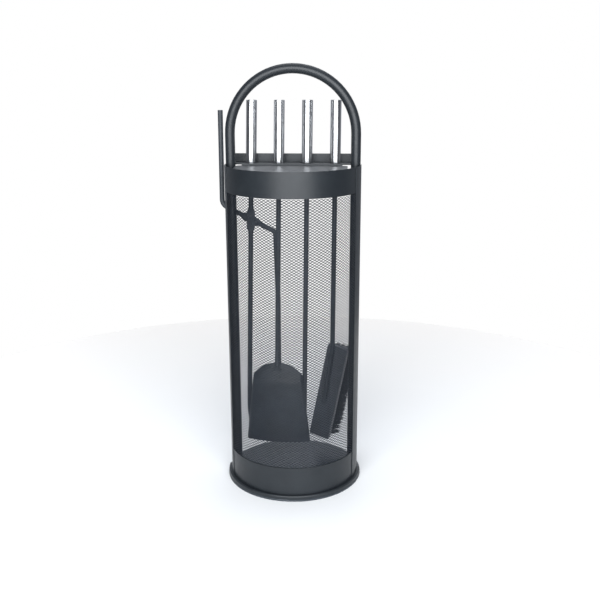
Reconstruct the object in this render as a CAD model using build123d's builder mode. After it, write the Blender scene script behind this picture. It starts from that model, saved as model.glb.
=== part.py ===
"""Fireplace tool set: tongs, shovel, poker and brush in a half-round mesh stand.

Frame: origin at the centre of the base disc's underside, +Z up, -Y to the front
(the side closed by the mesh wall), +X to the right as seen from the front.
Lengths are in millimetres.
"""

import os
from math import cos, radians, sin, tan

from build123d import *

os.makedirs("parts", exist_ok=True)

# ---- stand -----------------------------------------------------------------
total_height = 660.0
base_radius = 110.0
base_thickness = 3.0
base_rounding = 1.2
rim_top = 9.0
rim_rounding = 2.2
rim_radius = 109.5

tube_radius = 7.45
tube_wall = 1.2
leg_spacing = 191.4

wall_radius = 103.5  # outside of the two bands
sheet = 1.2
wall_start = 4.0  # the wall's sheets begin this far in front of the legs' plane
lower_band_top = 54.0
hem_height = 3.0
hem_stand_out = 0.8
hem_end_width = 16.0
hem_end_depth = 90.0
upper_band_bottom = 473.0
wall_top = 511.5
mesh_thickness = 0.6
mesh_inset = 0.2  # the panel's face behind the bands' faces
strip_thickness = 1.0
strip_back_angle = 3.0  # degrees behind the legs' plane
strip_front_angle = 21.0  # degrees in front of it

top_plate_half_width = 84.0
top_plate_back = -17.0
top_plate_corner = 8.0
lip_height = 3.0

rail_thickness = 2.0
ledge_top = 512.0
ledge_front = 7.8
rail_back = 39.0
rail_top = 524.5
slot_width = 8.6
slot_front = 15.5
slot_run = 50.0  # from the slot's round end to beyond the rail's back

# ---- tools -----------------------------------------------------------------
tool_y = 20.0
rod_radius = 3.9
fit_gap = 0.05

handle_length = 94.0
handle_radius = 8.2
handle_wall = 1.0
handle_lift = 0.4  # air between a handle and the ledge it stands on
cap_depth = 4.0
plug_length = 16.0
plug_inset = 0.6
edge_break = 0.4

# place along the rail and sideways lean of each tool, in degrees
tongs_x, tongs_y, tongs_lean = -67.3, 25.6, 1.45
shovel_x, shovel_lean = -23.4, 1.0
poker_x, poker_lean = 20.3, 0.65
brush_x, brush_lean = 64.0, 0.4

flat_thickness = 3.0
flat_gap = 0.3
flat_rounding = 0.6

pivot_z = 421.0
pivot_radius = 2.5
rivet_head_radius = 4.5
rivet_head_height = 2.0
head_rounding = 1.2
arm_radius = 3.9
jaw_bottom = 58.0
jaw_length = 40.0
jaw_thickness = 3.0
jaw_width = 9.0
jaw_rounding = 1.2
jaw_set = 4.0  # how far the jaws turn in towards each other

shovel_bend_z = 203.0
heel_angle = 25.0
heel_leg = 40.0
weld_gap = 0.4  # room for the weld between shaft and pan
pan_turn = 4.0
pan_sheet = 1.5
bend_radius = 14.0  # of the shaft where it turns into the heel
paddle_length = 14.0
paddle_width = 13.0
paddle_thickness = 3.2
paddle_rounding = 6.4
paddle_neck = 6.0
neck_rounding = 1.3
paddle_shift = 4.0
weld_rivet_radius = 2.0
weld_rivet_height = 1.2
pan_bow_radius = 160.0

brush_turn = 20.0
brush_tilt = 11.5
brush_bend_z = 214.0
block_width = 35.0
block_length = 169.0
block_thickness = 12.0
bristle_length = 48.0
leg_tilt = 8.5
leg_length = 104.0
leg_bend = 30.0
block_shift = 7.5  # the block's middle beside the shaft
block_rise = 2.0
block_corner = 3.0
block_edge = 1.0
bristle_inset = 3.0
bristle_inset_top = 18.0
bristle_inset_bottom = 2.0
bristle_flare = 1.0
bristle_flare_bottom = 14.0
brush_rivet_radius = 3.2
brush_rivet_height = 1.4
rivet_top_drop = 14.0
rivet_end_gap = 4.0

all_round = 2.5 * base_radius


def save(piece, name):
    """Label a finished piece and write its STEP file."""
    piece.part.label = name
    export_step(piece.part, f"parts/{name}.step")


def half_ring(outer, thickness, start=0.0):
    """Sketch a half ring on the front side of the stand, from a distance before the legs' plane."""
    Circle(outer)
    Circle(outer - thickness, mode=Mode.SUBTRACT)
    with Locations((0, all_round / 2 - start)):
        Rectangle(all_round, all_round, mode=Mode.SUBTRACT)


def tool_plane(x, y, lean, drop=0.0):
    """Plane across a tool's shaft, a stretch below the ledge; +Z runs up the shaft."""
    up = Vector(sin(radians(lean)), 0, cos(radians(lean)))
    side = Vector(cos(radians(lean)), 0, -sin(radians(lean)))
    foot = Vector(x, y, ledge_top) - up * drop
    return Plane(origin=foot, x_dir=side, z_dir=up)


def make_handle(tool, plane):
    """Make one tool's stainless handle: tube, closed cap and the plug that takes the shaft."""
    bore = handle_radius - handle_wall
    foot = plane.offset(handle_lift)

    with BuildPart() as handle:
        with BuildSketch(foot):
            Circle(handle_radius)
            Circle(bore, mode=Mode.SUBTRACT)
        extrude(amount=handle_length)
        top = handle.edges().filter_by(GeomType.CIRCLE).sort_by(Axis.Z)[-2:]
        chamfer(top.sort_by(SortBy.RADIUS)[-1], length=edge_break)
    save(handle, f"{tool}_handle")

    with BuildPart() as cap:
        with BuildSketch(foot.offset(handle_length - cap_depth)):
            Circle(bore - fit_gap)
        extrude(amount=cap_depth - edge_break)
    save(cap, f"{tool}_handle_cap")

    with BuildPart() as plug:
        with BuildSketch(foot.offset(plug_inset)):
            Circle(bore - fit_gap)
            Circle(rod_radius + fit_gap, mode=Mode.SUBTRACT)
        extrude(amount=plug_length)
    save(plug, f"{tool}_handle_plug")


# ---- stand -----------------------------------------------------------------
with BuildPart() as base_plate:
    with BuildSketch(Plane.XY):
        Circle(base_radius)
    extrude(amount=base_thickness)
    fillet(base_plate.edges().sort_by(Axis.Z)[-1], radius=base_rounding)
save(base_plate, "base_plate")

with BuildPart() as base_rim:
    with BuildSketch(Plane.XY.offset(base_thickness)):
        half_ring(rim_radius, rim_radius - wall_radius)
    extrude(amount=rim_top - base_thickness)
    rim_edges = base_rim.edges().filter_by(GeomType.CIRCLE).group_by(Axis.Z)[-1]
    fillet(rim_edges.sort_by(SortBy.RADIUS)[-1], radius=rim_rounding)
save(base_rim, "base_rim")

with BuildPart() as frame_tube:
    with BuildLine(Plane.XZ) as arch:
        crown = total_height - tube_radius - leg_spacing / 2
        left_leg = Line((-leg_spacing / 2, base_thickness), (-leg_spacing / 2, crown))
        bow = ThreePointArc(left_leg @ 1, (0, total_height - tube_radius), (leg_spacing / 2, crown))
        Line(bow @ 1, (leg_spacing / 2, base_thickness))
    with BuildSketch(Plane(origin=arch.line @ 0, z_dir=arch.line % 0)):
        Circle(tube_radius)
        Circle(tube_radius - tube_wall, mode=Mode.SUBTRACT)
    sweep(path=arch.line)
save(frame_tube, "frame_tube")

with BuildPart() as lower_band:
    with BuildSketch(Plane.XY.offset(base_thickness)):
        half_ring(wall_radius, sheet, wall_start)
    extrude(amount=lower_band_top - base_thickness)
    with BuildSketch(Plane.XY.offset(lower_band_top - hem_height)):
        half_ring(wall_radius + hem_stand_out, sheet, wall_start)
        # the hem stops at the edge strips
        for side in (-1, 1):
            with Locations((side * wall_radius, 0)):
                Rectangle(hem_end_width, hem_end_depth, mode=Mode.SUBTRACT)
    extrude(amount=hem_height)
save(lower_band, "lower_band")

with BuildPart() as mesh_panel:
    with BuildSketch(Plane.XY.offset(lower_band_top)):
        half_ring(wall_radius - mesh_inset, mesh_thickness, wall_start)
    extrude(amount=upper_band_bottom - lower_band_top)
save(mesh_panel, "mesh_panel")

with BuildPart() as upper_band:
    with BuildSketch(Plane.XY.offset(upper_band_bottom)):
        half_ring(wall_radius, sheet, wall_start)
    extrude(amount=wall_top - upper_band_bottom)
save(upper_band, "upper_band")

for side, name in ((-1, "side_strip_left"), (1, "side_strip_right")):
    with BuildPart() as side_strip:
        with BuildSketch(Plane.XY.offset(rim_top)):
            Circle(wall_radius + strip_thickness)
            Circle(wall_radius, mode=Mode.SUBTRACT)
            reach = all_round
            front = reach * tan(radians(strip_front_angle))
            back = reach * tan(radians(strip_back_angle))
            with BuildLine():
                Polyline((0, 0), (side * reach, back), (side * reach, -front), close=True)
            make_face(mode=Mode.INTERSECT)
        extrude(amount=wall_top - rim_top)
    save(side_strip, name)

with BuildPart() as top_plate:
    with BuildSketch(Plane.XY.offset(wall_top - sheet)):
        Circle(wall_radius - sheet - fit_gap)
        depth = wall_radius + top_plate_back
        with Locations((0, top_plate_back - depth / 2)):
            Rectangle(2 * top_plate_half_width, depth, mode=Mode.INTERSECT)
    extrude(amount=sheet)
    corners = top_plate.edges().filter_by(Axis.Z).group_by(Axis.Y)[-1]
    fillet(corners, radius=top_plate_corner)
    with BuildSketch(Plane.XY.offset(wall_top)):
        with Locations((0, top_plate_back - sheet / 2)):
            Rectangle(2 * (top_plate_half_width - top_plate_corner), sheet)
    extrude(amount=lip_height)
save(top_plate, "top_plate")

with BuildPart() as tool_rail:
    with BuildSketch(Plane.YZ.offset(-leg_spacing / 2)):
        with BuildLine():
            Polyline(
                (ledge_front, ledge_top - rail_thickness),
                (rail_back, ledge_top - rail_thickness),
                (rail_back, rail_top),
                (rail_back - rail_thickness, rail_top),
                (rail_back - rail_thickness, ledge_top),
                (ledge_front, ledge_top),
                close=True,
            )
        make_face()
    extrude(amount=leg_spacing)
    with BuildSketch(Plane.XY.offset(ledge_top - rail_thickness)):
        for x in (tongs_x, shovel_x, poker_x, brush_x):
            with Locations((x, slot_front + slot_width / 2)):
                Circle(slot_width / 2)
            with Locations((x, slot_front + slot_width / 2 + slot_run / 2)):
                Rectangle(slot_width, slot_run)
    extrude(amount=rail_top, mode=Mode.SUBTRACT)
save(tool_rail, "tool_rail")

# ---- tongs -----------------------------------------------------------------
tongs_plane = tool_plane(tongs_x, tongs_y, tongs_lean)
make_handle("tongs", tongs_plane)

shaft_top = handle_lift + plug_length
pivot_drop = ledge_top - pivot_z
flat_half = 12.0  # half of the flat's full-width length
flat_taper = 8.0
flat_width = 13.0
jaw_drop = ledge_top - jaw_bottom

with BuildPart() as tongs_fixed_arm:
    flat_top = tool_plane(tongs_x, tongs_y, tongs_lean, pivot_drop - flat_half)
    flat_bottom = tool_plane(tongs_x, tongs_y, tongs_lean, pivot_drop + flat_half)
    taper_top = tool_plane(tongs_x, tongs_y, tongs_lean, pivot_drop - flat_half - flat_taper)
    taper_bottom = tool_plane(tongs_x, tongs_y, tongs_lean, pivot_drop + flat_half + flat_taper)
    with BuildSketch(taper_top):
        Circle(rod_radius)
    extrude(amount=shaft_top + pivot_drop - flat_half - flat_taper)
    with BuildSketch(flat_bottom):
        RectangleRounded(flat_width, flat_thickness, flat_rounding)
    extrude(amount=2 * flat_half)
    for flat, round_end in ((flat_top, taper_top), (flat_bottom, taper_bottom)):
        with BuildSketch(flat):
            RectangleRounded(flat_width, flat_thickness, flat_rounding)
        with BuildSketch(round_end):
            Circle(rod_radius)
        loft()
    jaw_start = jaw_drop - jaw_length
    with BuildSketch(taper_bottom):
        Circle(rod_radius)
    extrude(amount=-(jaw_start - pivot_drop - flat_half - flat_taper))
    with BuildSketch(tool_plane(tongs_x, tongs_y, tongs_lean, jaw_start)):
        Circle(rod_radius)
    jaw_end = tool_plane(tongs_x, tongs_y, tongs_lean, jaw_drop)
    jaw_foot = jaw_end.origin + Vector(jaw_set, 0, 0)
    with BuildSketch(Plane(origin=jaw_foot, x_dir=jaw_end.x_dir, z_dir=jaw_end.z_dir)):
        RectangleRounded(jaw_thickness, jaw_width, jaw_rounding)
    loft()
    pivot_centre = tool_plane(tongs_x, tongs_y, tongs_lean, pivot_drop).origin
    with BuildSketch(Plane(origin=pivot_centre - Vector(0, 10, 0), x_dir=(1, 0, 0), z_dir=(0, 1, 0))):
        Circle(pivot_radius + fit_gap)
    extrude(amount=20, mode=Mode.SUBTRACT)
save(tongs_fixed_arm, "tongs_fixed_arm")

arm_y = tongs_y + flat_thickness + flat_gap
boss_angle = -27.0
boss_half = 10.5
boss_taper = 5.5
boss_width = 13.0
grip_x = tongs_x - 48.0
grip_top = 591.0
grip_lean = 0.8
grip_bend = 14.0
jaw_x = -27.6
knee_offset = 3.4
knee_bend = 9.0
shank_straight_z = 290.0  # below this height the shank stands upright


def boss_section(distance):
    """Plane across the moving arm's slanting stretch, a distance from the pivot."""
    along = Vector(cos(radians(boss_angle)), 0, sin(radians(boss_angle)))
    centre = Vector(pivot_centre.X, arm_y, pivot_centre.Z) + along * distance
    return Plane(origin=centre, x_dir=(0, 1, 0), z_dir=along)


with BuildPart() as tongs_moving_arm:
    with BuildSketch(boss_section(-boss_half)):
        RectangleRounded(flat_thickness, boss_width, flat_rounding)
    extrude(amount=2 * boss_half)
    reach_out = boss_half + boss_taper
    for end in (-1, 1):
        with BuildSketch(boss_section(end * boss_half)):
            RectangleRounded(flat_thickness, boss_width, flat_rounding)
        with BuildSketch(boss_section(end * reach_out)):
            Circle(arm_radius)
        loft()
    grip_start = boss_section(-reach_out).origin
    grip_corner_z = grip_start.Z - (grip_start.X - grip_x) * tan(radians(boss_angle))
    with BuildLine(Plane.XZ.offset(-arm_y)) as grip:
        FilletPolyline(
            (grip_start.X, grip_start.Z),
            (grip_x, grip_corner_z),
            (grip_x + grip_lean, grip_top),
            radius=grip_bend,
        )
    with BuildSketch(Plane(origin=grip.line @ 0, z_dir=grip.line % 0)):
        Circle(arm_radius)
    sweep(path=grip.line)
    jaw_from = boss_section(reach_out).origin
    knee_x = jaw_x - knee_offset
    knee_z = jaw_from.Z + (knee_x - jaw_from.X) * tan(radians(boss_angle))
    with BuildLine(Plane.XZ.offset(-arm_y)) as shank:
        FilletPolyline(
            (jaw_from.X, jaw_from.Z),
            (knee_x, knee_z),
            (jaw_x, shank_straight_z),
            (jaw_x, jaw_bottom + jaw_length),
            radius=knee_bend,
        )
    with BuildSketch(Plane(origin=shank.line @ 0, z_dir=shank.line % 0)):
        Circle(arm_radius)
    sweep(path=shank.line)
    with BuildSketch(Plane.XY.offset(jaw_bottom + jaw_length)):
        with Locations((jaw_x, arm_y)):
            Circle(arm_radius)
    with BuildSketch(Plane.XY.offset(jaw_bottom)):
        # the jaw's front edge stays level with the rod's
        with Locations((jaw_x - jaw_set, arm_y + jaw_width / 2 - arm_radius)):
            RectangleRounded(jaw_thickness, jaw_width, jaw_rounding)
    loft()
    with BuildSketch(Plane(origin=pivot_centre - Vector(0, 10, 0), x_dir=(1, 0, 0), z_dir=(0, 1, 0))):
        Circle(pivot_radius + fit_gap)
    extrude(amount=30, mode=Mode.SUBTRACT)
save(tongs_moving_arm, "tongs_moving_arm")

with BuildPart() as tongs_pivot:
    head_front = tongs_y - flat_thickness / 2 - rivet_head_height
    grip_length = 2 * flat_thickness + 2 * flat_gap
    front_plane = Plane(
        origin=(pivot_centre.X, head_front, pivot_centre.Z), x_dir=(1, 0, 0), z_dir=(0, 1, 0)
    )
    with BuildSketch(front_plane):
        Circle(rivet_head_radius)
    extrude(amount=rivet_head_height)
    with BuildSketch(front_plane.offset(rivet_head_height)):
        Circle(pivot_radius)
    extrude(amount=grip_length)
    with BuildSketch(front_plane.offset(rivet_head_height + grip_length)):
        Circle(rivet_head_radius)
    extrude(amount=rivet_head_height)
    heads = tongs_pivot.edges().filter_by(GeomType.CIRCLE).sort_by(Axis.Y)
    fillet([heads[0], heads[-1]], radius=head_rounding)
save(tongs_pivot, "tongs_pivot")

# ---- shovel ----------------------------------------------------------------
make_handle("shovel", tool_plane(shovel_x, tool_y, shovel_lean))

shovel_drop = ledge_top - shovel_bend_z
bend = tool_plane(shovel_x, tool_y, shovel_lean, shovel_drop)
heel_down = Vector(0, -sin(radians(heel_angle)), -cos(radians(heel_angle)))
heel_front = Vector(0, -cos(radians(heel_angle)), sin(radians(heel_angle)))

with BuildPart() as shovel_shaft:
    with BuildLine() as shaft_line:
        FilletPolyline(
            tool_plane(shovel_x, tool_y, shovel_lean, -shaft_top).origin,
            bend.origin,
            bend.origin + heel_down * (heel_leg - paddle_length),
            radius=bend_radius,
        )
    with BuildSketch(Plane(origin=shaft_line.line @ 0, z_dir=shaft_line.line % 0)):
        Circle(rod_radius)
    sweep(path=shaft_line.line)
    paddle = bend.origin + heel_down * (heel_leg - paddle_length)
    with BuildSketch(Plane(origin=paddle, x_dir=(1, 0, 0), z_dir=heel_down)):
        Circle(rod_radius)
    paddle_flat = paddle + heel_down * paddle_neck - heel_front * (rod_radius - paddle_thickness / 2)
    with BuildSketch(Plane(origin=paddle_flat, x_dir=(1, 0, 0), z_dir=heel_down)):
        RectangleRounded(paddle_width, paddle_thickness, neck_rounding)
    loft()
    face_centre = paddle_flat + heel_down * paddle_shift
    paddle_face = Plane(origin=face_centre, x_dir=(1, 0, 0), z_dir=heel_front)
    with BuildSketch(paddle_face):
        RectangleRounded(paddle_width, paddle_length, paddle_rounding)
    extrude(amount=paddle_thickness / 2, both=True)
save(shovel_shaft, "shovel_shaft")

with BuildPart() as shovel_rivets:
    for drop in (-1.5, 3.5):
        spot = paddle_face.origin + heel_down * drop + heel_front * (paddle_thickness / 2 + fit_gap)
        with BuildSketch(Plane(origin=spot, x_dir=(1, 0, 0), z_dir=heel_front)):
            Circle(weld_rivet_radius)
        extrude(amount=weld_rivet_height)
    fillet(shovel_rivets.faces().sort_by(Axis.Y)[:1].edges(), radius=flat_rounding)
save(shovel_rivets, "shovel_rivets")

# outside face of the pan, at its middle, where the floor meets the heel
crease_drop = 10.0
crease = paddle_flat + heel_down * crease_drop - heel_front * (paddle_thickness / 2 + weld_gap)
crease_z = 156.0
pan_middle = crease.Y + (crease_z - crease.Z) * tan(radians(heel_angle))
pan_x = -28.5
pan_bottom = 47.5
pan_bottom_width = 108.0
pan_shoulder_width = 83.0
pan_shoulder_z = 163.5
pan_top = 184.5
pan_bow_depth = 20.0  # more than the arc's rise over the pan's width
pan_reach = 80.0


def pan_plane(z, back=0.0):
    """Level plane centred on the pan's bow, turned with the pan about the shaft."""
    side = Vector(cos(radians(pan_turn)), -sin(radians(pan_turn)), 0)
    inward = Vector(sin(radians(pan_turn)), cos(radians(pan_turn)), 0)
    origin = Vector(pan_x, pan_middle, z) + inward * back
    return Plane(origin=origin, x_dir=side, z_dir=(0, 0, 1))


def bowed_sheet():
    """Section of the pan: a shallow arc of sheet, bowed towards the front."""
    with Locations((0, pan_bow_radius)):
        Circle(pan_bow_radius)
        Circle(pan_bow_radius - pan_sheet, mode=Mode.SUBTRACT)
    with Locations((0, pan_bow_depth + pan_bow_radius)):
        Rectangle(4 * pan_bow_radius, 2 * pan_bow_radius, mode=Mode.SUBTRACT)


heel_rise = 32.0
with BuildPart() as shovel_pan:
    with BuildSketch(pan_plane(pan_bottom)):
        bowed_sheet()
    extrude(amount=crease_z - pan_bottom)
    with BuildSketch(pan_plane(crease_z)):
        bowed_sheet()
    with BuildSketch(pan_plane(crease_z + heel_rise, heel_rise * tan(radians(heel_angle)))):
        bowed_sheet()
    loft()
    outline_plane = Plane(
        origin=pan_plane(0).origin, x_dir=pan_plane(0).x_dir, z_dir=-pan_plane(0).y_dir
    )
    with BuildSketch(outline_plane):
        with BuildLine():
            foot = Line((-pan_bottom_width / 2, pan_bottom), (pan_bottom_width / 2, pan_bottom))
            right_side = Line(foot @ 1, (pan_shoulder_width / 2, pan_shoulder_z))
            brow = ThreePointArc(right_side @ 1, (0, pan_top), (-pan_shoulder_width / 2, pan_shoulder_z))
            Line(brow @ 1, foot @ 0)
        make_face()
    extrude(amount=pan_reach, both=True, mode=Mode.INTERSECT)
save(shovel_pan, "shovel_pan")

# ---- poker -----------------------------------------------------------------
make_handle("poker", tool_plane(poker_x, tool_y, poker_lean))

point_bottom = 52.0
point_length = 26.0
point_taper = 6.9  # degrees
poker_reach = ledge_top - point_bottom - point_length

with BuildPart() as poker_shaft:
    with BuildSketch(tool_plane(poker_x, tool_y, poker_lean, poker_reach)):
        Circle(rod_radius)
    extrude(amount=poker_reach + shaft_top)
    with BuildSketch(tool_plane(poker_x, tool_y, poker_lean, poker_reach)):
        Circle(rod_radius)
    extrude(amount=-point_length, taper=point_taper)
save(poker_shaft, "poker_shaft")

hook_z = 104.0
hook_radius = 3.0
hook_reach = 20.0
hook_rise = 20.0
hook_drop = 4.0
hook_bend = 11.0
hook_end_rounding = 1.8
with BuildPart() as poker_hook:
    root = tool_plane(poker_x, tool_y, poker_lean, ledge_top - hook_z).origin
    start_x = root.X - rod_radius - flat_gap
    foot_z = hook_z - hook_drop
    with BuildLine(Plane.XZ.offset(-tool_y)) as hook_line:
        FilletPolyline(
            (start_x, foot_z),
            (start_x - hook_reach, foot_z),
            (start_x - hook_reach, foot_z + hook_rise),
            radius=hook_bend,
        )
    with BuildSketch(Plane(origin=hook_line.line @ 0, z_dir=hook_line.line % 0)):
        Circle(hook_radius)
    sweep(path=hook_line.line)
    hook_end = poker_hook.edges().filter_by(GeomType.CIRCLE).sort_by(Axis.Z)[-1]
    fillet(hook_end, radius=hook_end_rounding)
save(poker_hook, "poker_hook")

# ---- brush -----------------------------------------------------------------
make_handle("brush", tool_plane(brush_x, tool_y, brush_lean))

face_normal = Vector(-sin(radians(brush_turn)), -cos(radians(brush_turn)), 0)
face_side = Vector(cos(radians(brush_turn)), -sin(radians(brush_turn)), 0)
face_up = Vector(0, 0, 1)


def tilted(angle):
    """The brush head's long direction, tilted in the plane of its face."""
    return face_up * cos(radians(angle)) + face_side * sin(radians(angle))


brush_bend = tool_plane(brush_x, tool_y, brush_lean, ledge_top - brush_bend_z).origin

with BuildPart() as brush_shaft:
    leg_end = brush_bend - tilted(leg_tilt) * leg_length
    with BuildLine() as brush_line:
        FilletPolyline(
            tool_plane(brush_x, tool_y, brush_lean, -shaft_top).origin,
            brush_bend,
            leg_end,
            radius=leg_bend,
        )
    with BuildSketch(Plane(origin=brush_line.line @ 0, z_dir=brush_line.line % 0)):
        Circle(rod_radius)
    sweep(path=brush_line.line)
save(brush_shaft, "brush_shaft")

block_up = tilted(brush_tilt)
leg_axis = brush_bend - face_up * block_rise
block_top = leg_axis - face_normal * (rod_radius + fit_gap) + face_side * block_shift
block_centre = block_top - block_up * (block_length / 2)
block_side = face_side * cos(radians(brush_tilt)) - face_up * sin(radians(brush_tilt))
block_face = Plane(origin=block_centre, x_dir=block_side, z_dir=face_normal)

with BuildPart() as brush_block:
    with BuildSketch(block_face):
        RectangleRounded(block_width, block_length, block_corner)
    extrude(amount=-block_thickness)
    fillet(brush_block.faces().sort_by(Axis.Y)[0].edges(), radius=block_edge)
save(brush_block, "brush_block")

root_length = block_length - bristle_inset_top - bristle_inset_bottom
root_middle = (bristle_inset_bottom - bristle_inset_top) / 2
with BuildPart() as brush_bristles:
    with BuildSketch(block_face.offset(-block_thickness)):
        with Locations((0, root_middle)):
            Rectangle(block_width - 2 * bristle_inset, root_length)
    with BuildSketch(block_face.offset(-block_thickness - bristle_length)):
        with Locations((0, root_middle - bristle_flare_bottom / 2)):
            Rectangle(block_width + 2 * bristle_flare, root_length + bristle_flare_bottom)
    loft()
save(brush_bristles, "brush_bristles")

with BuildPart() as brush_rivets:
    for distance in (rivet_top_drop, leg_length - rivet_end_gap):
        spot = brush_bend - tilted(leg_tilt) * distance + face_normal * (rod_radius + fit_gap)
        with BuildSketch(Plane(origin=spot, x_dir=face_side, z_dir=face_normal)):
            Circle(brush_rivet_radius)
        extrude(amount=brush_rivet_height)
    rivet_edges = brush_rivets.edges().filter_by(GeomType.CIRCLE).group_by(SortBy.LENGTH)[-1]
    fillet(rivet_edges, radius=flat_rounding)
save(brush_rivets, "brush_rivets")
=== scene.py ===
"""Fireplace tool set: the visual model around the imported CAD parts, with floor, lights and camera.

Everything is in the parts' own frame, in metres: +Z up, -Y to the front of the stand.
Dimensions in the code are in millimetres and carry the factor MM.
"""

from math import cos, pi, radians, sin, sqrt, tan, tau

import bmesh
import bpy
from mathutils import Matrix, Vector


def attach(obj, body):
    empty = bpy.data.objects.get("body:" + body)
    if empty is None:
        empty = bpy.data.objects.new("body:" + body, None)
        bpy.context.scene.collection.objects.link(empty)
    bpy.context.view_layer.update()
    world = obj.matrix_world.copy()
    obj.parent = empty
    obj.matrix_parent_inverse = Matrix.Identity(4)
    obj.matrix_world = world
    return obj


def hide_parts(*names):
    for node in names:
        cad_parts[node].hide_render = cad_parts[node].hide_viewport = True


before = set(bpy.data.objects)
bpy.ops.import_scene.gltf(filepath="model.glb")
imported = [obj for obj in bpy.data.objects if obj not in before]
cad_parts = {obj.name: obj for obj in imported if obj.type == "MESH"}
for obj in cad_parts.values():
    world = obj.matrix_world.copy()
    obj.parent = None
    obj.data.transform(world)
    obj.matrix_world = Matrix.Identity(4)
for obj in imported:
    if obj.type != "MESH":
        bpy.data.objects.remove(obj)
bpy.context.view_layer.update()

MM = 0.001
SEED = 7

# ---- sizes shared with the CAD parts ---------------------------------------
TUBE_RADIUS = 7.45
LEG_X = 95.7
BASE_TOP = 3.0

SHEET_RADIUS = 103.0
WALL_START = 4.0
MESH_FOOT = 54.0
MESH_HEAD = 473.0
# the sheet's rows are about 1.78 mm apart; drawn one sixth coarser so that they show
ROW_PITCH = 2.06
DIAMOND_WIDTH = 6.8
DIAMONDS = 46
STRAND_WIDTH = 0.86

LEDGE_TOP = 512.0
LEDGE_THICKNESS = 2.0
LEDGE_FRONT = 7.8
TOOL_Y = 20.0
ROD_RADIUS = 3.9

PAN_X = -28.5
PAN_TURN = radians(4.0)
PAN_MIDDLE = 2.806
PAN_BOTTOM = 47.5
PAN_TOP = 184.5
PAN_SHOULDER = 163.5
PAN_CREASE = 156.0
PAN_BOW_RADIUS = 160.0
PAN_SHEET = 1.5
PAN_HALF_BOTTOM = 54.0
PAN_HALF_SHOULDER = 41.5
HEEL_SLOPE = tan(radians(25.0))

BRUSH_X = 64.0
BRUSH_LEAN = radians(0.4)
BRUSH_TURN = radians(20.0)
BRUSH_TILT = radians(11.5)
BRUSH_BEND_Z = 214.0
BLOCK_LENGTH = 169.0
BLOCK_THICKNESS = 12.0
BLOCK_SHIFT = 7.5  # the block's middle beside the shaft
BLOCK_RISE = 2.0
FIT_GAP = 0.05
BRISTLE_LENGTH = 48.0
BRISTLE_INSET_TOP = 18.0
BRISTLE_INSET_BOTTOM = 2.0

FLOOR_RADIUS = 0.9  # metres


def colour(hex_value):
    """Linear RGBA of an sRGB colour written as #rrggbb."""
    channels = [int(hex_value[i : i + 2], 16) / 255 for i in (1, 3, 5)]
    linear = [c / 12.92 if c <= 0.04045 else ((c + 0.055) / 1.055) ** 2.4 for c in channels]
    return (*linear, 1.0)


def add_node(tree, kind, settings=None, inputs=None):
    """Add a node with its settings; an input is a value or the socket that feeds it."""
    node = tree.nodes.new(kind)
    for name, value in (settings or {}).items():
        setattr(node, name, value)
    for key, value in (inputs or {}).items():
        if isinstance(value, bpy.types.NodeSocket):
            tree.links.new(value, node.inputs[key])
        else:
            node.inputs[key].default_value = value
    return node


# ---- materials -------------------------------------------------------------
def start_material(name, settings):
    """New material whose shader has these constants on its own sockets."""
    material = bpy.data.materials.new(name)
    material.use_nodes = True
    tree = material.node_tree
    tree.nodes.clear()
    shader = add_node(tree, "ShaderNodeBsdfPrincipled", inputs=settings)
    add_node(tree, "ShaderNodeOutputMaterial", inputs={"Surface": shader.outputs[0]})
    place = add_node(tree, "ShaderNodeTexCoord").outputs["Object"]
    return material, tree, shader, place


def grain(tree, place, size_mm, detail=2.0, stretch=(1.0, 1.0, 1.0)):
    """Noise whose features are about this many millimetres across."""
    scaled = add_node(tree, "ShaderNodeMapping", inputs={"Vector": place, "Scale": stretch})
    noise = add_node(
        tree,
        "ShaderNodeTexNoise",
        inputs={"Vector": scaled.outputs[0], "Scale": 1.0 / (size_mm * MM), "Detail": detail},
    )
    return noise.outputs[0]


def spread(tree, factor, low, high):
    """A number that runs from low to high over the middle of a noise's range."""
    settings = {"Value": factor, "From Min": 0.3, "From Max": 0.7, "To Min": low, "To Max": high}
    return add_node(tree, "ShaderNodeMapRange", inputs=settings).outputs[0]


def tone(tree, factor, low, high):
    """A colour between two hex colours."""
    ramp = add_node(tree, "ShaderNodeValToRGB", inputs={"Fac": factor})
    ramp.color_ramp.elements[0].position = 0.3
    ramp.color_ramp.elements[0].color = colour(low)
    ramp.color_ramp.elements[1].position = 0.7
    ramp.color_ramp.elements[1].color = colour(high)
    return ramp.outputs[0]


def relief(tree, layers):
    """Bumps laid over each other; each layer is a height socket and a depth in millimetres."""
    normal = None
    for height, depth_mm in layers:
        inputs = {"Height": height, "Distance": depth_mm * MM, "Strength": 1.0}
        if normal is not None:
            inputs["Normal"] = normal
        normal = add_node(tree, "ShaderNodeBump", inputs=inputs).outputs[0]
    return normal


def powder_coat(name, dark, light, rough_low, rough_high, peel_mm):
    """Baked epoxy-polyester powder on steel: half-matt, with a faint orange peel.

    The peel of real coats is about 1 mm; it is drawn coarser where it has to show.
    """
    material, tree, shader, place = start_material(name, {"IOR": 1.5, "Specular IOR Level": 0.36})
    cloud = grain(tree, place, 38.0, 3.0)
    wiped = grain(tree, place, 9.0, 4.0)
    peel = grain(tree, place, peel_mm, 1.0)
    grit = grain(tree, place, 0.6, 2.0)
    tree.links.new(tone(tree, cloud, dark, light), shader.inputs["Base Color"])
    tree.links.new(spread(tree, wiped, rough_low, rough_high), shader.inputs["Roughness"])
    tree.links.new(relief(tree, [(peel, 0.035), (grit, 0.01)]), shader.inputs["Normal"])
    return material


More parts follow.
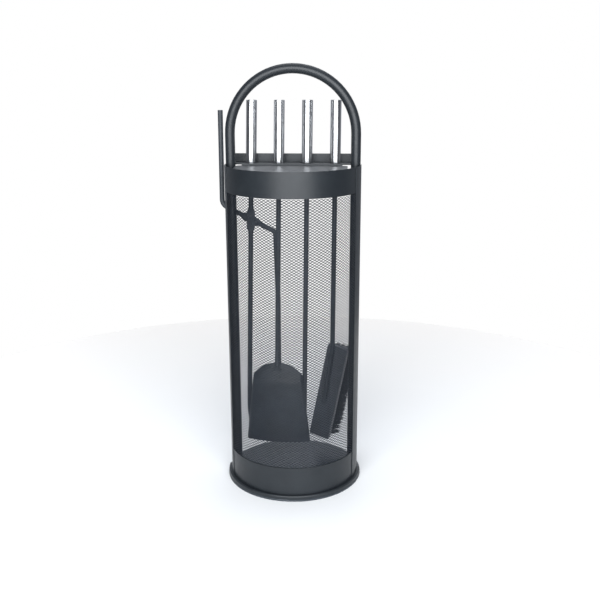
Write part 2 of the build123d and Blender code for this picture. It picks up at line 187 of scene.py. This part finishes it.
def make_materials():
    """The set's finishes, by the name of the real material."""
    made = {}
    # the base plate's coat: the stand's powder, a little smoother, painted a shade paler as painted
    # light from above on the flat, upward-facing plate
    made["base_powder"] = powder_coat("base_powder_coat", "#2f3439", "#353a40", 0.34, 0.4, 2.4)
    made["stand_powder"] = powder_coat("stand_powder_coat", "#191d21", "#1f2327", 0.38, 0.44, 2.4)
    # thin coat on strands: duller, because the grit is large beside the strand
    made["mesh_powder"] = powder_coat("mesh_powder_coat", "#141a22", "#1b222c", 0.5, 0.6, 3.0)
    made["tool_powder"] = powder_coat("tool_powder_coat", "#2c3034", "#363a3f", 0.42, 0.52, 2.0)

    # stainless tube, ground lengthwise and buffed: long fine lines, a bright stripe with
    # soft grey sides
    material, tree, shader, place = start_material(
        "buffed_stainless_tube", {"Metallic": 1.0}
    )
    lines = grain(tree, place, 0.5, 3.0, (1.0, 1.0, 0.02))
    smear = grain(tree, place, 14.0, 2.0, (1.0, 1.0, 0.3))
    tree.links.new(tone(tree, smear, "#c0c1c3", "#cfd0d2"), shader.inputs["Base Color"])
    tree.links.new(spread(tree, lines, 0.25, 0.31), shader.inputs["Roughness"])
    tree.links.new(relief(tree, [(lines, 0.0002)]), shader.inputs["Normal"])
    made["handle_steel"] = material

    # injection-moulded polyamide: black, faintly spark-eroded skin
    material, tree, shader, place = start_material("moulded_black_polyamide", {"IOR": 1.53})
    skin = grain(tree, place, 0.8, 3.0)
    tree.links.new(tone(tree, skin, "#151617", "#1c1d1e"), shader.inputs["Base Color"])
    tree.links.new(spread(tree, skin, 0.45, 0.58), shader.inputs["Roughness"])
    tree.links.new(relief(tree, [(skin, 0.03)]), shader.inputs["Normal"])
    made["polyamide"] = material

    # beech block under black lacquer: pores run along the block, gloss breaks over them
    material, tree, shader, place = start_material("black_lacquered_beech", {"IOR": 1.5})
    along = (1.0, 1.0, 0.08)
    pores = grain(tree, place, 1.6, 4.0, along)
    figure = grain(tree, place, 8.0, 3.0, along)
    tree.links.new(tone(tree, figure, "#3a3d42", "#474a50"), shader.inputs["Base Color"])
    tree.links.new(spread(tree, pores, 0.38, 0.56), shader.inputs["Roughness"])
    tree.links.new(relief(tree, [(figure, 0.12), (pores, 0.08)]), shader.inputs["Normal"])
    made["block_lacquer"] = material

    # extruded polypropylene filament: black, soft satin, its grey varying at random
    material, tree, shader, place = start_material("black_polypropylene_bristle", {"IOR": 1.49})
    strand = grain(tree, place, 2.2, 2.0)
    tree.links.new(tone(tree, strand, "#131415", "#242527"), shader.inputs["Base Color"])
    tree.links.new(spread(tree, strand, 0.4, 0.6), shader.inputs["Roughness"])
    made["bristle_plastic"] = material
    return made


finish = make_materials()


def wear(obj, material):
    """Give a piece its one material."""
    obj.data.materials.clear()
    obj.data.materials.append(finish[material])


def settle(obj, body, slot, *nodes):
    """Put a finished piece on its body, standing for these CAD nodes, which are hidden; slot is not
    used.
    """
    if nodes:
        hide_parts(*nodes)
    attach(obj, body)
    return obj


def link_mesh(name, mesh, material):
    """An object in the scene that shows this mesh, with one material."""
    obj = bpy.data.objects.new(name, mesh)
    bpy.context.scene.collection.objects.link(obj)
    wear(obj, material)
    return obj


# ---- Geometry Nodes --------------------------------------------------------
def start_tree(name, inputs):
    """New geometry tree and its input sockets; an input is its name, socket kind and value."""
    tree = bpy.data.node_groups.new(name, "GeometryNodeTree")
    for label, kind, value in inputs:
        socket = tree.interface.new_socket(label, in_out="INPUT", socket_type=kind)
        if value is not None:
            socket.default_value = value
    tree.interface.new_socket("Geometry", in_out="OUTPUT", socket_type="NodeSocketGeometry")
    given = add_node(tree, "NodeGroupInput")
    return tree, given.outputs


def number(tree, operation, *values):
    """One step of arithmetic in a geometry tree."""
    inputs = dict(enumerate(values))
    return add_node(tree, "ShaderNodeMath", {"operation": operation}, inputs).outputs[0]


def vector(tree, operation, *values, out=0):
    """One step of vector arithmetic in a geometry tree."""
    inputs = dict(enumerate(values))
    return add_node(tree, "ShaderNodeVectorMath", {"operation": operation}, inputs).outputs[out]


def close_tree(tree, geometry, material):
    """End a tree as every piece needs it: real geometry with its material."""
    real = add_node(tree, "GeometryNodeRealizeInstances", inputs={0: geometry})
    inputs = {"Geometry": real.outputs[0], "Material": finish[material]}
    coated = add_node(tree, "GeometryNodeSetMaterial", inputs=inputs)
    add_node(tree, "NodeGroupOutput", inputs={0: coated.outputs[0]})


def grow(name, tree, material, place=None, path=(), **values):
    """Run a geometry tree and keep its result as a plain mesh piece; path is its runs of points."""
    seed_mesh = bpy.data.meshes.new(name + "_start")
    spots = [point * MM for run in path for point in run]
    edges = []
    for run in path:
        start = sum(len(r) for r in path[: path.index(run)])
        edges += [(start + i, start + i + 1) for i in range(len(run) - 1)]
    seed_mesh.from_pydata(spots, edges, [])
    holder = bpy.data.objects.new(name + "_start", seed_mesh)
    bpy.context.scene.collection.objects.link(holder)
    modifier = holder.modifiers.new(tree.name, "NODES")
    modifier.node_group = tree
    for item in tree.interface.items_tree:
        label = item.name.lower().replace(" ", "_")
        if item.in_out == "INPUT" and label in values:
            modifier[item.identifier] = values[label]
    depsgraph = bpy.context.evaluated_depsgraph_get()
    mesh = bpy.data.meshes.new_from_object(holder.evaluated_get(depsgraph), depsgraph=depsgraph)
    holder.modifiers.remove(modifier)
    bpy.data.objects.remove(holder)
    mesh.name = name
    if place is not None:
        mesh.transform(place)
    return link_mesh(name, mesh, material)


def expanded_mesh_tree():
    """Rows of zigzag strands, each joined to the next at its bonds, round half a cylinder."""
    tree, given = start_tree(
        "expanded_mesh",
        [
            ("Sheet Radius", "NodeSocketFloat", SHEET_RADIUS * MM),
            ("Start Angle", "NodeSocketFloat", pi + WALL_START / SHEET_RADIUS),
            ("Diamonds", "NodeSocketInt", DIAMONDS),
            ("Diamond Angle", "NodeSocketFloat", DIAMOND_WIDTH / SHEET_RADIUS),
            ("Row Pitch", "NodeSocketFloat", ROW_PITCH * MM),
            ("Strand Width", "NodeSocketFloat", STRAND_WIDTH * MM),
            ("Strand Thickness", "NodeSocketFloat", 0.45 * MM),
            ("Strand Tilt", "NodeSocketFloat", radians(20.0)),
            ("Bond Share", "NodeSocketFloat", 0.15),
            ("Foot", "NodeSocketFloat", MESH_FOOT * MM),
            ("First Row", "NodeSocketInt", 0),
            ("Rows", "NodeSocketInt", 10),
        ],
    )
    points = number(tree, "MULTIPLY_ADD", given["Diamonds"], 4.0, 1.0)
    line = add_node(tree, "GeometryNodeMeshLine", inputs={"Count": points})
    index = add_node(tree, "GeometryNodeInputIndex").outputs[0]
    half_cell = number(tree, "FLOOR", number(tree, "DIVIDE", index, 2.0))
    bond_end = number(tree, "MODULO", index, 2.0)
    bond = number(tree, "MULTIPLY", bond_end, given["Bond Share"])
    along = number(tree, "MULTIPLY_ADD", half_cell, 0.5, bond)
    angle = number(tree, "MULTIPLY_ADD", along, given["Diamond Angle"], given["Start Angle"])
    climb = number(tree, "SUBTRACT", given["Row Pitch"], given["Strand Width"])
    side = number(tree, "SUBTRACT", number(tree, "MODULO", half_cell, 2.0), 0.5)
    height = number(tree, "MULTIPLY", side, climb)
    x = number(tree, "MULTIPLY", number(tree, "COSINE", angle), given["Sheet Radius"])
    y = number(tree, "MULTIPLY", number(tree, "SINE", angle), given["Sheet Radius"])
    spot = add_node(tree, "ShaderNodeCombineXYZ", inputs={"X": x, "Y": y, "Z": height})
    inputs = {"Geometry": line.outputs[0], "Position": spot.outputs[0]}
    zigzag = add_node(tree, "GeometryNodeSetPosition", inputs=inputs)
    strand = add_node(tree, "GeometryNodeMeshToCurve", inputs={0: zigzag.outputs[0]})
    upright = add_node(tree, "GeometryNodeSetCurveNormal", inputs={"Curve": strand.outputs[0]})
    set_mode(upright, "Z_UP")
    inputs = {"Curve": upright.outputs[0], "Tilt": given["Strand Tilt"]}
    tilted = add_node(tree, "GeometryNodeSetCurveTilt", inputs=inputs)
    inputs = {"Width": given["Strand Thickness"], "Height": given["Strand Width"]}
    section = add_node(tree, "GeometryNodeCurvePrimitiveQuadrilateral", inputs=inputs)
    inputs = {"Curve": tilted.outputs[0], "Profile Curve": section.outputs[0], "Fill Caps": True}
    row = add_node(tree, "GeometryNodeCurveToMesh", inputs=inputs)

    first_row, row_pitch = given["First Row"], given["Row Pitch"]
    first_height = number(tree, "MULTIPLY_ADD", first_row, row_pitch, given["Foot"])
    half_pitch = number(tree, "MULTIPLY", given["Row Pitch"], 0.5)
    start = add_node(
        tree, "ShaderNodeCombineXYZ", inputs={"Z": number(tree, "ADD", first_height, half_pitch)}
    )
    step = add_node(tree, "ShaderNodeCombineXYZ", inputs={"Z": given["Row Pitch"]})
    inputs = {
        "Count": given["Rows"],
        "Start Location": start.outputs[0],
        "Offset": step.outputs[0],
    }
    stack = add_node(tree, "GeometryNodeMeshLine", inputs=inputs)
    row_index = add_node(tree, "GeometryNodeInputIndex").outputs[0]
    parity = number(tree, "MODULO", number(tree, "ADD", row_index, given["First Row"]), 2.0)
    half_turn = number(tree, "MULTIPLY", given["Diamond Angle"], 0.5)
    shift = number(tree, "MULTIPLY", parity, half_turn)
    turned = add_node(tree, "ShaderNodeCombineXYZ", inputs={"Z": shift})
    inputs = {
        "Points": stack.outputs[0],
        "Instance": row.outputs[0],
        "Rotation": turned.outputs[0],
    }
    rows = add_node(tree, "GeometryNodeInstanceOnPoints", inputs=inputs)
    close_tree(tree, rows.outputs[0], "mesh_powder")
    return tree


def set_mode(node, mode):
    """Set a node's mode, which newer Blenders keep on a menu socket."""
    if hasattr(node, "mode"):
        node.mode = mode
    else:
        node.inputs["Mode"].default_value = mode


def build_mesh_wall():
    """The wall of expanded metal between the two bands, in three bays to keep each piece light."""
    tree = expanded_mesh_tree()
    rows = int((MESH_HEAD - MESH_FOOT) / ROW_PITCH)
    bays = ("lower", "middle", "upper")
    first = 0
    for place, bay in enumerate(bays):
        last = rows * (place + 1) // len(bays)
        wall = grow("mesh_wall_" + bay, tree, "mesh_powder", first_row=first, rows=last - first)
        settle(wall, "stand", "stand_coating", "mesh_panel")
        first = last


# ---- weld beads ------------------------------------------------------------
def bead_tree():
    """A rippled bead of weld laid along the edges it is given."""
    tree, given = start_tree(
        "weld_bead",
        [
            ("Path", "NodeSocketGeometry", None),
            ("Bead Radius", "NodeSocketFloat", 1.1 * MM),
            ("Ripple Pitch", "NodeSocketFloat", 1.3 * MM),
            ("Ripple Share", "NodeSocketFloat", 0.16),
        ],
    )
    path = add_node(tree, "GeometryNodeMeshToCurve", inputs={0: given["Path"]})
    run = add_node(tree, "GeometryNodeSplineParameter").outputs["Length"]
    fine = add_node(tree, "GeometryNodeResampleCurve", inputs={"Curve": path.outputs[0]})
    set_mode(fine, "LENGTH")
    fine.inputs["Length"].default_value = 0.4 * MM
    phase = number(tree, "MULTIPLY", number(tree, "DIVIDE", run, given["Ripple Pitch"]), tau)
    swell = number(tree, "MULTIPLY_ADD", number(tree, "SINE", phase), given["Ripple Share"], 1.0)
    thick = number(tree, "MULTIPLY", swell, given["Bead Radius"])
    section = add_node(
        tree, "GeometryNodeCurvePrimitiveCircle", inputs={"Resolution": 10, "Radius": 1.0}
    )
    inputs = {"Curve": fine.outputs[0], "Profile Curve": section.outputs[0], "Fill Caps": True}
    bead = add_node(tree, "GeometryNodeCurveToMesh", inputs=inputs)
    if "Scale" in bead.inputs:
        tree.links.new(thick, bead.inputs["Scale"])
    else:
        inputs = {"Curve": fine.outputs[0], "Radius": thick}
        sized = add_node(tree, "GeometryNodeSetCurveRadius", inputs=inputs)
        tree.links.new(sized.outputs[0], bead.inputs["Curve"])
    smooth = add_node(tree, "GeometryNodeSetShadeSmooth", inputs={0: bead.outputs[0]})
    return tree, smooth.outputs[0]


def ring(centre, radius, across, along, parts=40):
    """Closed run of points round a circle that lies in two directions."""
    turns = [tau * i / parts for i in range(parts + 1)]
    return [centre + across * (radius * cos(a)) + along * (radius * sin(a)) for a in turns]


def build_beads():
    """Welds: the legs on the base, the rail on the legs."""
    tree, bead = bead_tree()
    x_way, y_way = Vector((1, 0, 0)), Vector((0, 1, 0))
    runs = []
    for side in (-1, 1):
        foot = Vector((side * LEG_X, 0, BASE_TOP + 0.3))
        runs.append(ring(foot, TUBE_RADIUS + 0.3, x_way, y_way))
        for height in (LEDGE_TOP + 0.3, LEDGE_TOP - LEDGE_THICKNESS - 0.3):
            middle = Vector((side * (LEG_X - 1.0), LEDGE_FRONT - 0.1, height))
            reach = 4.0
            runs.append([middle - x_way * reach, middle + x_way * reach * (0.2 if side > 0 else 1)])
    close_tree(tree, bead, "stand_powder")
    welds = grow("stand_welds", tree, "stand_powder", path=runs)
    settle(welds, "stand", "stand_coating")


# ---- brush -----------------------------------------------------------------
def brush_axes():
    """Frame of the brush block: side, up and outward normal, with the middle of its face."""
    normal = Vector((-sin(BRUSH_TURN), -cos(BRUSH_TURN), 0.0))
    across = Vector((cos(BRUSH_TURN), -sin(BRUSH_TURN), 0.0))
    upright = Vector((0.0, 0.0, 1.0))
    drop = LEDGE_TOP - BRUSH_BEND_Z
    bend = Vector((BRUSH_X - sin(BRUSH_LEAN) * drop, TOOL_Y, LEDGE_TOP - cos(BRUSH_LEAN) * drop))
    up = upright * cos(BRUSH_TILT) + across * sin(BRUSH_TILT)
    side = across * cos(BRUSH_TILT) - upright * sin(BRUSH_TILT)
    head = bend - normal * (ROD_RADIUS + FIT_GAP) + across * BLOCK_SHIFT - upright * BLOCK_RISE
    return side, up, normal, head - up * (BLOCK_LENGTH / 2)


def bristle_tree():
    """Tufts of filament set in rows of holes, splayed and slightly curved."""
    tree, given = start_tree(
        "bristle_tufts",
        [
            ("Field Width", "NodeSocketFloat", 24.5 * MM),
            ("Field Length", "NodeSocketFloat", 143.0 * MM),
            ("Rows Across", "NodeSocketInt", 5),
            ("Holes Along", "NodeSocketInt", 22),
            ("Filaments", "NodeSocketInt", 56),
            ("Tuft Radius", "NodeSocketFloat", 2.3 * MM),
            ("Filament Radius", "NodeSocketFloat", 0.24 * MM),
            ("Filament Length", "NodeSocketFloat", (BRISTLE_LENGTH - 0.6) * MM),
            ("Splay", "NodeSocketFloat", 1.6),
            ("Stray", "NodeSocketFloat", 0.035),
            ("Slump", "NodeSocketFloat", 5.2),
            ("Curl", "NodeSocketFloat", 3.2 * MM),
            ("Seed", "NodeSocketInt", SEED),
        ],
    )
    inputs = {
        "Size X": given["Field Width"],
        "Size Y": given["Field Length"],
        "Vertices X": given["Rows Across"],
        "Vertices Y": given["Holes Along"],
    }
    holes = add_node(tree, "GeometryNodeMeshGrid", inputs=inputs)
    dots = add_node(tree, "GeometryNodeMeshToPoints", inputs={0: holes.outputs[0]})
    inputs = {"Geometry": dots.outputs[0], "Amount": given["Filaments"]}
    many = add_node(tree, "GeometryNodeDuplicateElements", {"domain": "POINT"}, inputs)

    def chance(low, high, offset):
        # sockets 2, 3 and 8 are the float minimum, the float maximum and the seed
        inputs = {2: low, 3: high, 8: number(tree, "ADD", given["Seed"], offset)}
        draw = add_node(tree, "FunctionNodeRandomValue", {"data_type": "FLOAT"}, inputs)
        return draw.outputs[1]

    bearing = chance(0.0, tau, 1)
    reach = number(tree, "SQRT", chance(0.0, 1.0, 2))
    from_middle = number(tree, "MULTIPLY", reach, given["Tuft Radius"])
    dx = number(tree, "MULTIPLY", number(tree, "COSINE", bearing), from_middle)
    dy = number(tree, "MULTIPLY", number(tree, "SINE", bearing), from_middle)
    offset = add_node(tree, "ShaderNodeCombineXYZ", inputs={"X": dx, "Y": dy})
    inputs = {"Geometry": many.outputs[0], "Offset": offset.outputs[0]}
    rooted = add_node(tree, "GeometryNodeSetPosition", inputs=inputs)

    position = add_node(tree, "GeometryNodeInputPosition").outputs[0]
    flare = vector(tree, "MULTIPLY", position, (4.6, 0.7, 0.0))
    # the lowest tufts are bent down, more so the nearer they are to the foot
    along = add_node(tree, "ShaderNodeSeparateXYZ", inputs={0: position}).outputs["Y"]
    past = number(tree, "MAXIMUM", number(tree, "SUBTRACT", along, 35.0 * MM), 0.0)
    slump = add_node(
        tree, "ShaderNodeCombineXYZ", inputs={"Y": number(tree, "MULTIPLY", past, given["Slump"])}
    ).outputs[0]
    jitter = add_node(
        tree,
        "ShaderNodeCombineXYZ",
        inputs={"X": chance(-1.0, 1.0, 3), "Y": chance(-1.0, 1.0, 4), "Z": 0.0},
    )
    scaled = add_node(
        tree,
        "ShaderNodeVectorMath",
        {"operation": "SCALE"},
        {0: jitter.outputs[0], "Scale": given["Stray"]},
    ).outputs[0]
    splayed = add_node(
        tree, "ShaderNodeVectorMath", {"operation": "SCALE"}, {0: flare, "Scale": given["Splay"]}
    ).outputs[0]
    bent = vector(tree, "ADD", splayed, slump)
    lean = vector(tree, "ADD", vector(tree, "ADD", bent, scaled), (0.0, 0.0, 1.0))
    facing = add_node(
        tree, "FunctionNodeAlignRotationToVector", {"axis": "Z"}, {"Vector": lean}
    ).outputs[0]

    inputs = {
        "Vertices": 3,
        "Side Segments": 3,
        "Radius": given["Filament Radius"],
        "Depth": given["Filament Length"],
    }
    rod = add_node(tree, "GeometryNodeMeshCylinder", inputs=inputs)
    lift = add_node(
        tree,
        "ShaderNodeCombineXYZ",
        inputs={"Z": number(tree, "MULTIPLY", given["Filament Length"], 0.5)},
    )
    inputs = {"Geometry": rod.outputs[0], "Translation": lift.outputs[0]}
    filament = add_node(tree, "GeometryNodeTransform", inputs=inputs)
    cut = add_node(
        tree, "ShaderNodeCombineXYZ", inputs={"X": 1.0, "Y": 1.0, "Z": chance(0.93, 1.0, 5)}
    )
    inputs = {
        "Points": rooted.outputs[0],
        "Instance": filament.outputs[0],
        "Rotation": facing,
        "Scale": cut.outputs[0],
    }
    tufts = add_node(tree, "GeometryNodeInstanceOnPoints", inputs=inputs)
    real = add_node(tree, "GeometryNodeRealizeInstances", inputs={0: tufts.outputs[0]})
    drift = add_node(tree, "ShaderNodeTexNoise", inputs={"Scale": 45.0, "Detail": 1.0})
    sway = vector(tree, "SUBTRACT", drift.outputs["Color"], (0.5, 0.5, 0.5))
    height = add_node(tree, "ShaderNodeSeparateXYZ", inputs={0: position}).outputs["Z"]
    share = number(tree, "DIVIDE", height, given["Filament Length"])
    amount = number(tree, "MULTIPLY", number(tree, "MULTIPLY", share, share), given["Curl"])
    flat = vector(tree, "MULTIPLY", sway, (1.0, 1.0, 0.0))
    inputs = {0: flat, "Scale": amount}
    curl = add_node(tree, "ShaderNodeVectorMath", {"operation": "SCALE"}, inputs)
    inputs = {"Geometry": real.outputs[0], "Offset": curl.outputs[0]}
    curled = add_node(tree, "GeometryNodeSetPosition", inputs=inputs)
    close_tree(tree, curled.outputs[0], "bristle_plastic")
    return tree


def build_bristles():
    """The brush's filaments, on the far side of its block."""
    side, up, normal, centre = brush_axes()
    drop = (BRISTLE_INSET_TOP - BRISTLE_INSET_BOTTOM) / 2
    root = centre - normal * (BLOCK_THICKNESS - 0.3) - up * drop
    # the filaments' own frame is right-handed: side, down the block, away from its face
    place = Matrix((side, -up, -normal)).transposed().to_4x4()
    place.translation = root * MM
    brush = grow("brush_filaments", bristle_tree(), "bristle_plastic", place)
    settle(brush, "brush", "bristles", "brush_bristles")


# ---- shovel pan ------------------------------------------------------------
def pan_depth(x, z):
    """How far back the pan's front face lies: bow, pressed heel and rolled sides."""
    bow = PAN_BOW_RADIUS - sqrt(PAN_BOW_RADIUS**2 - x * x)
    bend = 5.0
    above = z - (PAN_CREASE - 5.0 * (x / PAN_HALF_SHOULDER) ** 2)
    if above <= -bend:
        heel = 0.0
    elif above < bend:
        heel = (above + bend) ** 2 / (4 * bend)
    else:
        heel = above
    rolled = max(0.0, abs(x) - pan_half_width(z) + 5.0)
    return bow + heel * HEEL_SLOPE + rolled**2 / 9.0


def pan_half_width(z):
    """Half the pan's width at a height."""
    share = min(1.0, (z - PAN_BOTTOM) / (PAN_SHOULDER - PAN_BOTTOM))
    return PAN_HALF_BOTTOM + (PAN_HALF_SHOULDER - PAN_HALF_BOTTOM) * share


def build_pan():
    """Pressed sheet pan: bowed floor, heel leaning back over a soft crease, rolled sides."""
    columns, rows = 56, 72
    brow_rise = PAN_TOP - PAN_SHOULDER
    brow_radius = (PAN_HALF_SHOULDER**2 + brow_rise**2) / (2 * brow_rise)
    side = Vector((cos(PAN_TURN), -sin(PAN_TURN), 0.0))
    inward = Vector((sin(PAN_TURN), cos(PAN_TURN), 0.0))
    origin = Vector((PAN_X, PAN_MIDDLE, 0.0))
    shape = bmesh.new()
    grid = []
    for i in range(columns + 1):
        u = -1.0 + 2.0 * i / columns
        brow = PAN_TOP - brow_radius + sqrt(brow_radius**2 - (u * PAN_HALF_SHOULDER) ** 2)
        line = []
        for j in range(rows + 1):
            z = PAN_BOTTOM + (brow - PAN_BOTTOM) * j / rows
            x = u * pan_half_width(z)
            point = origin + side * x + inward * pan_depth(x, z)
            line.append(shape.verts.new((point.x * MM, point.y * MM, z * MM)))
        grid.append(line)
    for left, right in zip(grid, grid[1:]):
        for j in range(rows):
            shape.faces.new((left[j], right[j], right[j + 1], left[j + 1]))
    mesh = bpy.data.meshes.new("shovel_pan_pressed")
    shape.to_mesh(mesh)
    shape.free()
    mesh.shade_smooth()
    pan = link_mesh("shovel_pan_pressed", mesh, "tool_powder")
    wall = pan.modifiers.new("sheet", "SOLIDIFY")
    wall.thickness = PAN_SHEET * MM
    wall.offset = -1.0
    edge = pan.modifiers.new("edges", "BEVEL")
    edge.width = 0.35 * MM
    edge.segments = 2
    edge.limit_method = "ANGLE"
    edge.angle_limit = radians(50.0)
    settle(pan, "shovel", "tool_coating", "shovel_pan")


# ---- CAD parts that keep their shape ---------------------------------------
# material, material slot, parts
FINISHES = (
    # the base plate takes the paler powder, whose extra lightness is painted light from above
    ("base_powder", "stand_coating", "base_plate"),
    ("stand_powder", "stand_coating", "base_rim frame_tube lower_band upper_band"),
    ("stand_powder", "stand_coating", "side_strip_left side_strip_right top_plate tool_rail"),
    ("tool_powder", "tool_coating", "tongs_fixed_arm tongs_moving_arm tongs_pivot"),
    ("tool_powder", "tool_coating", "shovel_shaft shovel_rivets poker_shaft poker_hook"),
    ("tool_powder", "tool_coating", "brush_shaft brush_rivets"),
    ("handle_steel", "handle_steel", "tongs_handle shovel_handle poker_handle brush_handle"),
    ("handle_steel", "handle_steel", "tongs_handle_cap shovel_handle_cap"),
    ("handle_steel", "handle_steel", "poker_handle_cap brush_handle_cap"),
    ("polyamide", "handle_plug", "tongs_handle_plug shovel_handle_plug"),
    ("polyamide", "handle_plug", "poker_handle_plug brush_handle_plug"),
    ("block_lacquer", "brush_block", "brush_block"),
)


def coat_parts():
    """Give every CAD part that shows its finish."""
    for material, slot, names in FINISHES:
        for name in names.split():
            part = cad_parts[name]
            wear(part, material)


# ---- floor, light and camera -----------------------------------------------
def build_studio():
    """White sweep of floor, a large soft light in front and dim white surroundings."""
    round_floor = bmesh.new()
    bmesh.ops.create_circle(round_floor, cap_ends=True, segments=128, radius=FLOOR_RADIUS)
    floor_mesh = bpy.data.meshes.new("floor")
    round_floor.to_mesh(floor_mesh)
    round_floor.free()
    floor = bpy.data.objects.new("floor", floor_mesh)
    bpy.context.scene.collection.objects.link(floor)
    floor.location.z = -0.0004
    # matt white sweep; its glow grows outwards so that it stays white as far as it goes
    material, tree, shader, place = start_material(
        "white_studio_floor", {"Roughness": 0.9, "Specular IOR Level": 0.1}
    )
    paint = tone(tree, grain(tree, place, 900.0), "#eeeeee", "#f3f3f3")
    tree.links.new(paint, shader.inputs["Base Color"])
    away = add_node(tree, "ShaderNodeVectorMath", {"operation": "LENGTH"}, {0: place})
    settings = {"Value": away.outputs["Value"], "From Min": 0.2, "From Max": FLOOR_RADIUS}
    settings.update({"To Min": 0.0, "To Max": 0.22})
    glow = add_node(tree, "ShaderNodeMapRange", inputs=settings)
    tree.links.new(glow.outputs[0], shader.inputs["Emission Strength"])
    shader.inputs["Emission Color"].default_value = (1.0, 0.86, 0.7, 1.0)
    floor_mesh.materials.append(material)

    world = bpy.data.worlds.new("studio")
    bpy.context.scene.world = world
    world.use_nodes = True
    tree = world.node_tree
    tree.nodes.clear()
    seen = add_node(tree, "ShaderNodeLightPath").outputs["Is Camera Ray"]
    # the room is dim in front and at the sides, and pale behind the stand and above it
    way = add_node(tree, "ShaderNodeTexCoord").outputs["Generated"]
    parts = add_node(tree, "ShaderNodeSeparateXYZ", inputs={0: way})
    settings = {"Value": parts.outputs["Y"], "From Min": -0.1, "From Max": 0.9}
    behind = add_node(tree, "ShaderNodeMapRange", inputs=settings).outputs[0]
    settings = {"Value": parts.outputs["Z"], "From Min": 0.0, "From Max": 0.45}
    settings.update({"To Min": 0.36, "To Max": 1.0})
    above = add_node(tree, "ShaderNodeMapRange", inputs=settings).outputs[0]
    pale = number(tree, "MULTIPLY", behind, above)
    paler = number(tree, "MULTIPLY_ADD", pale, 0.84, 0.16)
    settings = {"Color": colour("#e4eaf4"), "Strength": paler}
    room = add_node(tree, "ShaderNodeBackground", inputs=settings)
    settings = {"Color": (1, 1, 1, 1), "Strength": 1.0}
    backdrop = add_node(tree, "ShaderNodeBackground", inputs=settings)
    mix = add_node(
        tree, "ShaderNodeMixShader", inputs={0: seen, 1: room.outputs[0], 2: backdrop.outputs[0]}
    )
    add_node(tree, "ShaderNodeOutputWorld", inputs={"Surface": mix.outputs[0]})

    # name, place and the point it faces in metres, width, height, watts
    lamps = (
        ("front_softbox", (0.1, -2.1, 0.95), (0.0, 0.0, 0.45), 2.7, 1.7, 128.0),
        ("top_softbox", (0.0, 0.3, 2.3), (0.0, 0.0, 0.4), 1.6, 1.2, 12.0),
        ("back_softbox", (0.0, 2.2, 2.1), (0.0, 0.0, 0.35), 1.0, 1.2, 9.0),
    )
    for name, place, aim, width, height, watts in lamps:
        light = bpy.data.lights.new(name, "AREA")
        light.shape = "RECTANGLE"
        light.size = width
        light.size_y = height
        light.energy = watts
        light.color = (0.94, 0.97, 1.0)
        lamp = bpy.data.objects.new(name, light)
        lamp.location = place
        lamp.rotation_euler = (Vector(aim) - Vector(place)).to_track_quat("-Z", "Y").to_euler()
        lamp.visible_camera = False
        bpy.context.scene.collection.objects.link(lamp)

    view = bpy.context.scene.view_settings
    view.view_transform = "Standard"
    view.look = "None"


def place_camera():
    """A camera a little above the stand and to its right, looking down at it."""
    yaw, pitch, roll = radians(-4.25), radians(15.5), radians(-0.19)
    forward = Vector((sin(yaw) * cos(pitch), cos(yaw) * cos(pitch), -sin(pitch)))
    level = Vector((cos(yaw), -sin(yaw), 0.0))
    upward = level.cross(forward)
    right = level * cos(roll) + upward * sin(roll)
    up = upward * cos(roll) - level * sin(roll)
    data = bpy.data.cameras.new("camera")
    data.sensor_width = 36.0
    data.lens = 48.76
    camera = bpy.data.objects.new("camera", data)
    camera.matrix_world = Matrix((right, up, -forward)).transposed().to_4x4()
    camera.location = (0.1028, -1.2456, 0.6433)
    bpy.context.scene.collection.objects.link(camera)
    bpy.context.scene.camera = camera


coat_parts()
build_mesh_wall()
build_beads()
build_bristles()
build_pan()
build_studio()
place_camera()
